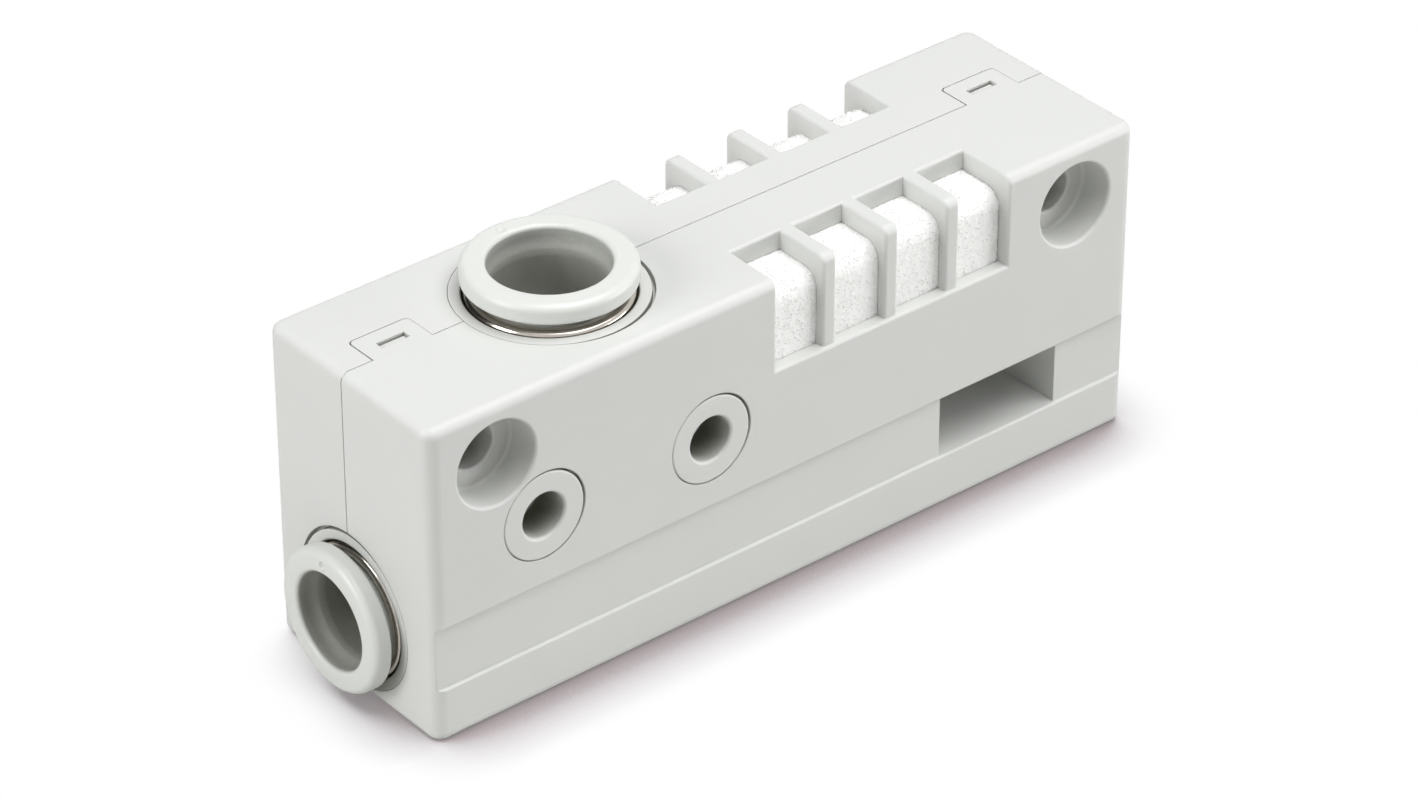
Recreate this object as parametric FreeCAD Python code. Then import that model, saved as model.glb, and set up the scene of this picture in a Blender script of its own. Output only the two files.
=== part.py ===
"""Vacuum ejector: a two-shell moulded body with two push-in tube fittings.

Frame: the origin is the centre of the body's bottom face, +X runs along the body away
from the supply fitting, -Y is the face with the counterbored screw holes and +Z is up.
All sizes are in millimetres.
"""
import FreeCAD
import Part
import math
import os

V = FreeCAD.Vector

# Body
BODY_LENGTH = 95.0
BODY_WIDTH = 27.0
BODY_HEIGHT = 38.0
SIDE_EDGE_RADIUS = 1.5
TOP_EDGE_RADIUS = 1.1
BOTTOM_EDGE_RADIUS = 1.0
PARTING_OFFSET = 0.75
SEAM_WIDTH = 0.1
SEAM_DEPTH = 0.2

# Clearances between pieces
STATIC_CLEARANCE = 0.05
RUNNING_CLEARANCE = 0.06
PORT_CLEARANCE = 0.09

# Shallow band along the front and rear faces
BAND_BOTTOM = 6.45
BAND_HEIGHT = 7.4
BAND_DEPTH = 0.4
BAND_LIP = 0.25

# Rectangular slot through the base, inside the band
SLOT_LENGTH = 16.6
SLOT_END_INSET = 10.3

# Screw holes for M5, counterbored from the front
SCREW_END_INSET = 8.5
SCREW_TOP_DROP = 7.0
SCREW_HOLE_RADIUS = 2.65
COUNTERBORE_RADIUS = 4.9
COUNTERBORE_DEPTH = 4.1
COUNTERBORE_LIP = 0.35
COUNTERBORE_FLOOR_RADIUS = 0.4
RIM_CHAMFER = 0.2

# Windows on both top edges, and the ribs that bridge them
WINDOW_START = 44.8
WINDOW_LENGTH = 32.1
WINDOW_DEPTH = 7.5
WINDOW_DROP = 11.0
WINDOW_EDGE_RADIUS = 0.35
RIB_COUNT = 3
RIB_WIDTH = 1.8
RIB_SETBACK = 0.45
RIB_CORNER_RADIUS = 1.0
RIB_EDGE_RADIUS = 0.4
RIB_ROOT = 1.0

# Porous silencer behind the ribs
SILENCER_SIDE_GAP = 1.6
SILENCER_TOP_GAP = 2.4
SILENCER_HEIGHT = 15.5
SILENCER_EDGE_RADIUS = 2.0
SILENCER_WALL = 5.0
SILENCER_ROOF = 6.0

# Latch tongues that reach from the front shell over the rear shell
TONGUE_END_INSET = 4.1
TONGUE_LENGTH = 7.4
TONGUE_REACH = 4.25
TONGUE_THICKNESS = 2.4
TONGUE_CORNER_RADIUS = 0.6
CATCH_LENGTH = 3.5
CATCH_WIDTH = 1.05
CATCH_END_GAP = 2.0
CATCH_REACH_GAP = 1.9
CATCH_DROP = 0.35
LOOSE_SIDE_GAP = 0.16
CLOSE_SIDE_GAP = 0.03

# Push-in fittings, common sizes
TUBE_CLEARANCE = 0.15
BUTTON_WALL = 1.05
BUTTON_FLANGE_THICKNESS = 2.2
BUTTON_EDGE_RADIUS = 0.85
BUTTON_UNDER_RADIUS = 0.35
BUTTON_LIP_RADIUS = 0.5
BUTTON_TRAVEL = 1.0
LEAD_IN_WALL = 1.7
LEAD_IN_DEPTH = 3.0
LEAD_IN_WIDENING = 0.38
LEAD_IN_BLEND_RADIUS = 3.0
NOSE_GAP = 0.1
NOSE_TAPER = 0.6
NOSE_TAPER_HEIGHT = 1.2
MARK_RADIUS = 0.65
MARK_DEPTH = 0.3
MARK_INSET = 1.1
VACUUM_MARK_ANGLE = 93.0
SUPPLY_MARK_ANGLE = 5.0
GUIDE_RING_GAP = 0.15
GUIDE_RING_DEPTH = 6.0
GUIDE_RING_ROUNDING = 0.4
WELL_DEPTH = 1.8
COLLET_THICKNESS = 0.4
CLAW_COUNT = 10
CLAW_DROP = 1.8
CLAW_SLIT = 0.8
CLAW_CLEARANCE = 0.1
SPACER_CLEARANCE = 0.3
SPACER_HEIGHT = 2.4
SEAL_HEIGHT = 2.2
SEAL_LIP_CLEARANCE = 0.05
SEAL_LIP_TOP = 1.1
SEAL_LIP_BOTTOM = 0.55
TUBE_GUIDE_DEPTH = 2.0
STOP_THICKNESS = 1.0
STOP_WIDTH = 1.2
SLEEVE_WALL = 0.9
FLANGE_HEIGHT = 2.6
NECK_HEIGHT = 1.8
COLLAR_HEIGHT = 2.0
COLLAR_STEP = 0.15
PRY_RELIEF = 0.36
VACUUM_PRY_ANGLE = -32.0
SUPPLY_PRY_ANGLE = 45.0
PRY_DEPTH = 0.8

# Vacuum fitting on top, for tube of 12 mm
VACUUM_TUBE_RADIUS = 6.0
VACUUM_END_INSET = 25.9
VACUUM_SLEEVE_RADIUS = 10.45
VACUUM_WELL_RADIUS = 9.1
VACUUM_RING_WALL = 1.7
VACUUM_BUTTON_RADIUS = 9.3
VACUUM_BUTTON_HEIGHT = 3.7

# Supply fitting on the left end, for tube of 10 mm
SUPPLY_TUBE_RADIUS = 5.0
CHANNEL_HEIGHT = 9.6
SUPPLY_SLEEVE_RADIUS = 8.9
SUPPLY_WELL_RADIUS = 7.7
SUPPLY_RING_WALL = 1.32
SUPPLY_BUTTON_RADIUS = 8.15
SUPPLY_BUTTON_HEIGHT = 3.45

# Two flush port bushings on the front face
PORT_END_INSET = 14.3
PORT_PITCH = 21.8
PORT_HEIGHT = 22.2
PORT_RADIUS = 5.1
PORT_BORE_RADIUS = 2.65
PORT_DEPTH = 4.5
PORT_MOUTH_RADIUS = 0.35
PORT_EDGE_RADIUS = 0.2
PORT_RELIEF = 0.18
PORT_RELIEF_ANGLE = 45.0
PASSAGE_RADIUS = 2.0

# Rubber ring sections, seated in grooves of the piece that they ride on
LARGE_RING_SECTION = 1.4
SMALL_RING_SECTION = 1.0
GROOVE_SIDE_GAP = 0.1

# Vacuum chamber between the vacuum fitting and the ejector channel
CHAMBER_RADIUS = 8.4
CHAMBER_FLOOR = 2.0
SCREEN_RADIUS = 8.9
SCREEN_THICKNESS = 0.6
SCREEN_HEIGHT = 2.4
SCREEN_HOLE_RADIUS = 0.6
SCREEN_HOLE_PITCH = 2.2
SUCTION_HOLE_RADIUS = 1.5
FLAP_LENGTH = 6.0
FLAP_WIDTH = 4.0
FLAP_THICKNESS = 0.5
FLAP_STUD_RADIUS = 0.6

# Ejector channel with nozzle and diffusers, along X
CHANNEL_RADIUS = 4.2
COLLAR_RADIUS = 5.5
CARTRIDGE_COLLAR = 3.0
NOZZLE_LENGTH = 6.4
NOZZLE_THROAT_RADIUS = 0.75
NOZZLE_EXIT_RADIUS = 1.0
NOZZLE_TIP_RADIUS = 1.6
FIRST_GAP = 2.6
FIRST_DIFFUSER_LENGTH = 7.4
FIRST_THROAT_RADIUS = 1.3
SECOND_GAP = 2.8
SECOND_DIFFUSER_LENGTH = 23.0
SECOND_THROAT_RADIUS = 2.0
DIFFUSER_FLARE = 0.8
DIFFUSER_WALL = 0.9
EXHAUST_LENGTH = 9.0
EXHAUST_WIDTH = 10.0

# Places that follow from the sizes above
LEFT_END = -BODY_LENGTH / 2
RIGHT_END = BODY_LENGTH / 2
FRONT_FACE = -BODY_WIDTH / 2
REAR_FACE = BODY_WIDTH / 2
BAND_TOP = BAND_BOTTOM + BAND_HEIGHT
SCREW_HEIGHT = BODY_HEIGHT - SCREW_TOP_DROP
WINDOW_LEFT = LEFT_END + WINDOW_START
WINDOW_RIGHT = WINDOW_LEFT + WINDOW_LENGTH
WINDOW_SILL = BODY_HEIGHT - WINDOW_DROP
VACUUM_X = LEFT_END + VACUUM_END_INSET
OVERSHOOT = 2.0
NEAR = 1e-3


def box(low, high):
    """Box between two corners."""
    size = [high[i] - low[i] for i in range(3)]
    return Part.makeBox(size[0], size[1], size[2], V(*low))


def cylinder(radius, start, end):
    """Round bar between two points."""
    start = V(*start)
    run = V(*end) - start
    return Part.makeCylinder(radius, run.Length, start, run)


def turned(outline):
    """Solid turned about the local Z axis from (radius, height) corners."""
    points = [V(radius, 0, height) for radius, height in outline]
    wire = Part.makePolygon(points + points[:1])
    return Part.Face(wire).revolve(V(0, 0, 0), V(0, 0, 1), 360)


def rounded(shape, radius, rings):
    """Round the circular edges of a turned piece at the given (radius, height) rings."""
    chosen = []
    for edge in shape.Edges:
        if isinstance(edge.Curve, Part.Circle):
            for ring_radius, height in rings:
                same_size = abs(edge.Curve.Radius - ring_radius) < NEAR
                same_place = abs(edge.Curve.Center.z - height) < NEAR
                if same_size and same_place:
                    chosen.append(edge)
    return shape.makeFillet(radius, chosen)


def rounded_mouth(radius, lip):
    """Cutter for the rounded lip of a round hole whose mouth lies at height 0."""
    wide = Part.makeCylinder(radius + lip, lip + OVERSHOOT, V(0, 0, -lip))
    return wide.cut(Part.makeTorus(radius + lip, lip, V(0, 0, -lip)))


def rubber_ring(groove_radius, section, height):
    """O-ring that lies on a groove floor of the given radius."""
    return Part.makeTorus(groove_radius + section / 2, section / 2, V(0, 0, height))


def groove(outer_radius, floor_radius, width, height):
    """Cutter for a groove round a turned piece, centred on a height."""
    low = height - width / 2
    high = height + width / 2
    outside = outer_radius + OVERSHOOT
    return turned([(floor_radius, low), (outside, low), (outside, high), (floor_radius, high)])


def ring_floor(seat_radius, section):
    """Groove floor radius for an O-ring that reaches the wall of its seat."""
    return seat_radius - section


def pry_cutter(radius, relief, angle):
    """Round cutter pushed aside, which leaves a crescent beside a round piece."""
    x = relief * math.cos(math.radians(angle))
    y = relief * math.sin(math.radians(angle))
    return Part.makeCylinder(radius, PRY_DEPTH + OVERSHOOT, V(x, y, -PRY_DEPTH))


class PushInFitting:
    """Sizes and pieces of one push-in tube fitting, built along local +Z out of the body face."""

    def __init__(self, tube_radius, sleeve_radius, well_radius, ring_wall, button_radius, button_height):
        self.sleeve_radius = sleeve_radius
        self.well_radius = well_radius
        self.button_radius = button_radius
        self.button_height = button_height
        self.bore = tube_radius + TUBE_CLEARANCE
        self.barrel = self.bore + BUTTON_WALL
        self.ring_inside = self.barrel + RUNNING_CLEARANCE
        self.ring_outside = self.ring_inside + ring_wall
        self.cavity = self.ring_outside + STATIC_CLEARANCE
        self.body_radius = self.cavity + SLEEVE_WALL
        self.collet_top = -GUIDE_RING_DEPTH
        self.spacer_top = self.collet_top - COLLET_THICKNESS
        self.seal_top = self.spacer_top - SPACER_HEIGHT
        self.guide_top = self.seal_top - SEAL_HEIGHT
        self.stop = self.guide_top - TUBE_GUIDE_DEPTH
        self.end = self.stop - STOP_THICKNESS
        self.under_flange = button_height - BUTTON_FLANGE_THICKNESS
        self.ring_top = self.under_flange - BUTTON_TRAVEL - GUIDE_RING_GAP
        self.ring_height = (self.guide_top + self.end) / 2

    def envelope(self, gap):
        """Outline of the sleeve's outside below its rim, grown by a gap: flange, neck, collar, body."""
        flange = self.sleeve_radius + gap
        neck = self.body_radius + gap
        collar = self.sleeve_radius - COLLAR_STEP + gap
        collar_top = -FLANGE_HEIGHT - NECK_HEIGHT + gap
        collar_bottom = -FLANGE_HEIGHT - NECK_HEIGHT - COLLAR_HEIGHT - gap
        return [
            (flange, -FLANGE_HEIGHT - gap),
            (neck, -FLANGE_HEIGHT - gap),
            (neck, collar_top),
            (collar, collar_top),
            (collar, collar_bottom),
            (neck, collar_bottom),
            (neck, self.end - gap),
        ]

    def seat(self, relief_angle):
        """Cutter for the sleeve's seat in the body, with a pry relief beside the mouth."""
        flange = self.sleeve_radius + STATIC_CLEARANCE
        floor = self.end - STATIC_CLEARANCE
        mouth = [(0, OVERSHOOT), (flange, OVERSHOOT)]
        cutter = turned(mouth + self.envelope(STATIC_CLEARANCE) + [(0, floor)])
        return cutter.fuse(pry_cutter(flange, PRY_RELIEF, relief_angle))

    def cassette(self):
        """Resin sleeve, with a well for the button, a cavity, a tube guide and a tube stop."""
        inside = [
            (self.bore - STOP_WIDTH, self.end),
            (self.bore - STOP_WIDTH, self.stop),
            (self.bore, self.stop),
            (self.bore, self.guide_top - STATIC_CLEARANCE),
            (self.cavity, self.guide_top - STATIC_CLEARANCE),
            (self.cavity, -WELL_DEPTH),
            (self.well_radius, -WELL_DEPTH),
            (self.well_radius, 0),
        ]
        sleeve = turned([(self.sleeve_radius, 0)] + self.envelope(0) + inside)
        sleeve = rounded(sleeve, RIM_CHAMFER, [(self.well_radius, 0)])
        floor = ring_floor(self.body_radius, LARGE_RING_SECTION)
        width = LARGE_RING_SECTION + 2 * GROOVE_SIDE_GAP
        return sleeve.cut(groove(self.body_radius, floor, width, self.ring_height))

    def guide_ring(self):
        """Polished ring that guides the button and holds the collet down."""
        ring = turned([
            (self.ring_inside, self.collet_top),
            (self.ring_outside, self.collet_top),
            (self.ring_outside, self.ring_top),
            (self.ring_inside, self.ring_top),
        ])
        tops = [(self.ring_outside, self.ring_top), (self.ring_inside, self.ring_top)]
        wall = self.ring_outside - self.ring_inside
        return rounded(ring, GUIDE_RING_ROUNDING * wall, tops)

    def release_button(self, mark_angle):
        """Moulded button: flange, barrel and nose, with a funnel mouth and a small gate mark."""
        top = self.button_height
        under = self.under_flange
        nose_radius = self.barrel - NOSE_TAPER
        nose = self.claw_height(nose_radius) + BUTTON_TRAVEL + NOSE_GAP
        mouth = self.bore + LEAD_IN_WIDENING
        button = turned([
            (self.bore, nose),
            (nose_radius, nose),
            (self.barrel, nose + NOSE_TAPER_HEIGHT),
            (self.barrel, under),
            (self.button_radius, under),
            (self.button_radius, top),
            (mouth, top),
            (mouth, top - LEAD_IN_WALL),
            (self.bore, top - LEAD_IN_DEPTH),
        ])
        button = rounded(button, BUTTON_EDGE_RADIUS, [(self.button_radius, top)])
        button = rounded(button, BUTTON_UNDER_RADIUS, [(self.button_radius, under)])
        button = rounded(button, BUTTON_LIP_RADIUS, [(mouth, top)])
        funnel = [(mouth, top - LEAD_IN_WALL), (self.bore, top - LEAD_IN_DEPTH)]
        button = rounded(button, LEAD_IN_BLEND_RADIUS, funnel)
        mark_ring = mouth + MARK_INSET
        mark_x = mark_ring * math.cos(math.radians(mark_angle))
        mark_y = mark_ring * math.sin(math.radians(mark_angle))
        mark = Part.makeSphere(MARK_RADIUS, V(mark_x, mark_y, top + MARK_RADIUS - MARK_DEPTH))
        return button.cut(mark)

    def claw_height(self, radius):
        """Height of the claws' upper side at a radius."""
        root = self.barrel + COLLET_THICKNESS
        tip = self.bore + CLAW_CLEARANCE
        return self.collet_top - CLAW_DROP * (root - radius) / (root - tip)

    def collet(self):
        """Stainless ring whose slit claws slope inwards to the tube."""
        rim = self.cavity - STATIC_CLEARANCE
        root = self.barrel + COLLET_THICKNESS
        tip = self.bore + CLAW_CLEARANCE
        tip_top = self.claw_height(tip)
        ring = turned([
            (rim, self.collet_top),
            (root, self.collet_top),
            (tip, tip_top),
            (tip, tip_top - COLLET_THICKNESS),
            (root, self.spacer_top),
            (rim, self.spacer_top),
        ])
        slit_low = tip_top - COLLET_THICKNESS - OVERSHOOT
        for number in range(CLAW_COUNT):
            slit = box((0, -CLAW_SLIT / 2, slit_low), (root, CLAW_SLIT / 2, self.collet_top + OVERSHOOT))
            slit.rotate(V(0, 0, 0), V(0, 0, 1), number * 360 / CLAW_COUNT)
            ring = ring.cut(slit)
        return ring

    def spacer_ring(self):
        """Ring between collet and seal, coned inside to leave room for the claws."""
        rim = self.cavity - STATIC_CLEARANCE
        return turned([
            (rim, self.spacer_top),
            (self.barrel + COLLET_THICKNESS + SPACER_CLEARANCE, self.spacer_top),
            (self.bore + SPACER_CLEARANCE, self.seal_top + CLAW_CLEARANCE),
            (self.bore + SPACER_CLEARANCE, self.seal_top),
            (rim, self.seal_top),
        ])

    def tube_seal(self):
        """Rubber seal with a sloping lip that meets the tube."""
        rim = self.cavity - STATIC_CLEARANCE
        lip = self.bore + SEAL_LIP_CLEARANCE
        root = (rim + lip) / 2
        return turned([
            (rim, self.seal_top),
            (root, self.seal_top),
            (lip, self.guide_top + SEAL_LIP_TOP),
            (lip, self.guide_top + SEAL_LIP_BOTTOM),
            (root - SEAL_LIP_CLEARANCE, self.guide_top),
            (rim, self.guide_top),
        ])

    def o_ring(self):
        """O-ring in the sleeve's groove."""
        floor = ring_floor(self.body_radius, LARGE_RING_SECTION)
        return rubber_ring(floor, LARGE_RING_SECTION, self.ring_height)

    def pieces(self, mark_angle):
        """All seven pieces by their name's ending."""
        return {
            "cassette": self.cassette(),
            "guide_ring": self.guide_ring(),
            "release_button": self.release_button(mark_angle),
            "collet": self.collet(),
            "spacer_ring": self.spacer_ring(),
            "tube_seal": self.tube_seal(),
            "o_ring": self.o_ring(),
        }


VACUUM = PushInFitting(
    VACUUM_TUBE_RADIUS, VACUUM_SLEEVE_RADIUS, VACUUM_WELL_RADIUS,
    VACUUM_RING_WALL, VACUUM_BUTTON_RADIUS, VACUUM_BUTTON_HEIGHT,
)
SUPPLY = PushInFitting(
    SUPPLY_TUBE_RADIUS, SUPPLY_SLEEVE_RADIUS, SUPPLY_WELL_RADIUS,
    SUPPLY_RING_WALL, SUPPLY_BUTTON_RADIUS, SUPPLY_BUTTON_HEIGHT,
)

# The vacuum fitting points up; the supply fitting points to -X with its local X up
VACUUM_PLACE = FreeCAD.Placement(V(VACUUM_X, 0, BODY_HEIGHT), FreeCAD.Rotation())
SUPPLY_PLACE = FreeCAD.Placement(V(LEFT_END, 0, CHANNEL_HEIGHT), FreeCAD.Rotation(V(0, 1, 0), -90))
CHANNEL_START = LEFT_END - SUPPLY.end + STATIC_CLEARANCE
CHAMBER_TOP = BODY_HEIGHT + VACUUM.end
CHAMBER_BOTTOM = CHANNEL_HEIGHT + COLLAR_RADIUS + CHAMBER_FLOOR
SCREEN_BOTTOM = CHAMBER_BOTTOM + SCREEN_HEIGHT


def placed(shape, placement):
    """Copy of a local shape at its place in the body."""
    copy = shape.copy()
    copy.Placement = placement
    return copy


def along_channel(shape, start):
    """Copy of a turned piece whose local Z runs along the channel from a start place."""
    rotation = FreeCAD.Rotation(V(0, 1, 0), 90)
    return placed(shape, FreeCAD.Placement(V(start, 0, CHANNEL_HEIGHT), rotation))


def edges_where(shape, test):
    """Edges whose two ends and middle all pass a test on the point."""
    chosen = []
    for edge in shape.Edges:
        middle = edge.valueAt((edge.FirstParameter + edge.LastParameter) / 2)
        points = [vertex.Point for vertex in edge.Vertexes] + [middle]
        if all(test(point) for point in points):
            chosen.append(edge)
    return chosen


def is_upright(edge):
    """Whether an edge climbs along Z."""
    return abs(edge.Vertexes[0].Z - edge.Vertexes[-1].Z) > NEAR


def outer_body():
    """Whole body block before it is split: rounded edges, bands, windows and ribs."""
    block = box((LEFT_END, FRONT_FACE, 0), (RIGHT_END, REAR_FACE, BODY_HEIGHT))
    block = block.makeFillet(SIDE_EDGE_RADIUS, [edge for edge in block.Edges if is_upright(edge)])
    block = block.makeFillet(TOP_EDGE_RADIUS, edges_where(block, lambda p: p.z > BODY_HEIGHT - NEAR))
    block = block.makeFillet(BOTTOM_EDGE_RADIUS, edges_where(block, lambda p: p.z < NEAR))
    for outward in (-1, 1):
        block = block.cut(band_cutter(outward))
        block = soften_window(block.cut(window_opening(outward)), outward)
        for number in range(RIB_COUNT):
            block = block.fuse(rib(number, outward))
    return block.removeSplitter()


def silencer_block(gap):
    """Silencer's outer form, grown by a gap, with its two long top edges rounded."""
    side = BODY_WIDTH / 2 - SILENCER_SIDE_GAP + gap
    top = BODY_HEIGHT - SILENCER_TOP_GAP + gap
    bottom = BODY_HEIGHT - SILENCER_TOP_GAP - SILENCER_HEIGHT - gap
    block = box((WINDOW_LEFT, -side, bottom), (WINDOW_RIGHT, side, top))
    top_edges = edges_where(block, lambda p: p.z > top - NEAR)
    long_edges = [edge for edge in top_edges if abs(edge.Vertexes[0].X - edge.Vertexes[1].X) > NEAR]
    return block.makeFillet(SILENCER_EDGE_RADIUS + gap, long_edges)


def silencer():
    """Porous block with a hollow underneath that takes the exhaust."""
    trim = box(
        (WINDOW_LEFT + STATIC_CLEARANCE, FRONT_FACE, 0),
        (WINDOW_RIGHT - STATIC_CLEARANCE, REAR_FACE, BODY_HEIGHT),
    )
    half_width = BODY_WIDTH / 2 - SILENCER_SIDE_GAP - SILENCER_WALL
    hollow = box(
        (WINDOW_LEFT + SILENCER_WALL, -half_width, 0),
        (WINDOW_RIGHT - SILENCER_WALL, half_width, BODY_HEIGHT - SILENCER_TOP_GAP - SILENCER_ROOF),
    )
    return silencer_block(0).common(trim).cut(hollow)


def window_opening(outward):
    """Opening of the window on one top edge; outward is -1 for the front."""
    wall = outward * (BODY_WIDTH / 2 - WINDOW_DEPTH)
    outside = outward * (BODY_WIDTH / 2 + OVERSHOOT)
    return box(
        (WINDOW_LEFT, min(wall, outside), WINDOW_SILL),
        (WINDOW_RIGHT, max(wall, outside), BODY_HEIGHT + OVERSHOOT),
    )


def soften_window(block, outward):
    """Round the edges where a window's opening meets the body's outside."""
    def on_rim(point):
        across = WINDOW_LEFT - NEAR < point.x < WINDOW_RIGHT + NEAR
        depth = BODY_WIDTH / 2 - outward * point.y
        drop = BODY_HEIGHT - point.z
        inside = depth < WINDOW_DEPTH + NEAR and drop < WINDOW_DROP + NEAR
        on_skin = depth < NEAR or drop < NEAR
        on_corner = depth < TOP_EDGE_RADIUS and drop < TOP_EDGE_RADIUS
        return across and inside and (on_skin or on_corner)

    return block.makeFillet(WINDOW_EDGE_RADIUS, edges_where(block, on_rim))


def rib(number, outward):
    """Rib across a window, flush with the top and set back a little from the side."""
    opening = (WINDOW_LENGTH - RIB_COUNT * RIB_WIDTH) / (RIB_COUNT + 1)
    start = WINDOW_LEFT + opening + number * (opening + RIB_WIDTH)
    front = outward * (BODY_WIDTH / 2 - RIB_SETBACK)
    back = outward * (BODY_WIDTH / 2 - WINDOW_DEPTH - RIB_ROOT)
    low = WINDOW_SILL - RIB_ROOT
    block = box((start, min(front, back), low), (start + RIB_WIDTH, max(front, back), BODY_HEIGHT))
    corner = edges_where(block, lambda p: p.z > BODY_HEIGHT - NEAR and abs(p.y - front) < NEAR)
    block = block.makeFillet(RIB_CORNER_RADIUS, corner)
    outline = []
    for side in (start, start + RIB_WIDTH):
        for edge in edges_where(block, lambda p: abs(p.x - side) < NEAR):
            middle = edge.valueAt((edge.FirstParameter + edge.LastParameter) / 2)
            if middle.z > low + NEAR and abs(middle.y - back) > NEAR:
                outline.append(edge)
    return block.makeFillet(RIB_EDGE_RADIUS, outline)


def band_cutter(outward):
    """Shallow band along one long face, with a rounded lip above and below."""
    face = outward * BODY_WIDTH / 2
    inner = face - outward * BAND_DEPTH
    lip = face - outward * BAND_LIP
    outer = face + outward * OVERSHOOT
    start = LEFT_END - OVERSHOOT
    end = RIGHT_END + OVERSHOOT
    band = box((start, min(inner, outer), BAND_BOTTOM), (end, max(inner, outer), BAND_TOP))
    for edge_height, upward in ((BAND_BOTTOM, -1), (BAND_TOP, 1)):
        lip_height = edge_height + upward * BAND_LIP
        strip = box(
            (start, min(lip, outer), min(edge_height, lip_height)),
            (end, max(lip, outer), max(edge_height, lip_height)),
        )
        bar = cylinder(BAND_LIP, (start - OVERSHOOT, lip, lip_height), (end + OVERSHOOT, lip, lip_height))
        band = band.fuse(strip.cut(bar))
    return band


def slot_cutter():
    """Rectangular slot right through the base."""
    right = RIGHT_END - SLOT_END_INSET
    return box(
        (right - SLOT_LENGTH, FRONT_FACE - OVERSHOOT, BAND_BOTTOM),
        (right, REAR_FACE + OVERSHOOT, BAND_TOP),
    )


def screw_hole(side):
    """One stepped screw hole through both shells, with a rounded rim and floor."""
    x = side * (BODY_LENGTH / 2 - SCREW_END_INSET)
    cutter = turned([
        (0, OVERSHOOT),
        (COUNTERBORE_RADIUS, OVERSHOOT),
        (COUNTERBORE_RADIUS, -COUNTERBORE_DEPTH),
        (SCREW_HOLE_RADIUS + RIM_CHAMFER, -COUNTERBORE_DEPTH),
        (SCREW_HOLE_RADIUS, -COUNTERBORE_DEPTH - RIM_CHAMFER),
        (SCREW_HOLE_RADIUS, -BODY_WIDTH - OVERSHOOT),
        (0, -BODY_WIDTH - OVERSHOOT),
    ])
    cutter = rounded(cutter, COUNTERBORE_FLOOR_RADIUS, [(COUNTERBORE_RADIUS, -COUNTERBORE_DEPTH)])
    cutter = cutter.fuse(rounded_mouth(COUNTERBORE_RADIUS, COUNTERBORE_LIP))
    return placed(cutter, front_placement(x, SCREW_HEIGHT))


def front_placement(x, z):
    """Place on the front face with local Z pointing out of it."""
    return FreeCAD.Placement(V(x, FRONT_FACE, z), FreeCAD.Rotation(V(1, 0, 0), 90))


def port_places():
    """Centres of the two port bushings along X."""
    left = LEFT_END + PORT_END_INSET
    return {"left": left, "right": left + PORT_PITCH}


def port_bushing():
    """Flush bushing with a rounded mouth and a groove for its O-ring."""
    bushing = turned([
        (PORT_BORE_RADIUS, 0),
        (PORT_RADIUS, 0),
        (PORT_RADIUS, -PORT_DEPTH),
        (PORT_BORE_RADIUS, -PORT_DEPTH),
    ])
    bushing = rounded(bushing, PORT_MOUTH_RADIUS, [(PORT_BORE_RADIUS, 0)])
    bushing = rounded(bushing, PORT_EDGE_RADIUS, [(PORT_RADIUS, 0)])
    floor = ring_floor(PORT_RADIUS, SMALL_RING_SECTION)
    width = SMALL_RING_SECTION + 2 * GROOVE_SIDE_GAP
    return bushing.cut(groove(PORT_RADIUS, floor, width, -PORT_DEPTH / 2))


def port_o_ring():
    """O-ring of one port bushing."""
    floor = ring_floor(PORT_RADIUS, SMALL_RING_SECTION)
    return rubber_ring(floor, SMALL_RING_SECTION, -PORT_DEPTH / 2)


def port_seat():
    """Cutter for a bushing's seat, a little wider at its mouth and towards one side."""
    seat = PORT_RADIUS + STATIC_CLEARANCE
    mouth = PORT_RADIUS + PORT_CLEARANCE
    cutter = turned([
        (0, OVERSHOOT),
        (mouth, OVERSHOOT),
        (mouth, -PRY_DEPTH),
        (seat, -PRY_DEPTH),
        (seat, -PORT_DEPTH),
        (0, -PORT_DEPTH),
    ])
    return cutter.fuse(pry_cutter(mouth, PORT_RELIEF, PORT_RELIEF_ANGLE))


def passages():
    """Drilled ways from both port bushings to the vacuum chamber."""
    places = port_places()
    seat_floor = FRONT_FACE + PORT_DEPTH - STATIC_CLEARANCE
    left_end = (places["left"], 0, PORT_HEIGHT)
    right_end = (places["right"], 0, PORT_HEIGHT)
    ways = [cylinder(PASSAGE_RADIUS, left_end, right_end)]
    for x in places.values():
        mouth = (x, seat_floor, PORT_HEIGHT)
        ways.append(cylinder(PASSAGE_RADIUS, mouth, (x, PASSAGE_RADIUS, PORT_HEIGHT)))
    return Part.makeCompound(ways)


def cartridge_starts():
    """Start along X of the nozzle and of both diffusers."""
    nozzle_start = CHANNEL_START
    first = nozzle_start + NOZZLE_LENGTH + FIRST_GAP
    second = first + FIRST_DIFFUSER_LENGTH + SECOND_GAP
    return {"nozzle": nozzle_start, "first_diffuser": first, "second_diffuser": second}


def collar_ring():
    """O-ring of a nozzle or diffuser collar, in the middle of the collar."""
    floor = ring_floor(COLLAR_RADIUS, SMALL_RING_SECTION)
    return rubber_ring(floor, SMALL_RING_SECTION, CARTRIDGE_COLLAR / 2)


def collared(outline):
    """Turned channel piece with the groove for its O-ring."""
    floor = ring_floor(COLLAR_RADIUS, SMALL_RING_SECTION)
    width = SMALL_RING_SECTION + 2 * GROOVE_SIDE_GAP
    return turned(outline).cut(groove(COLLAR_RADIUS, floor, width, CARTRIDGE_COLLAR / 2))


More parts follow.
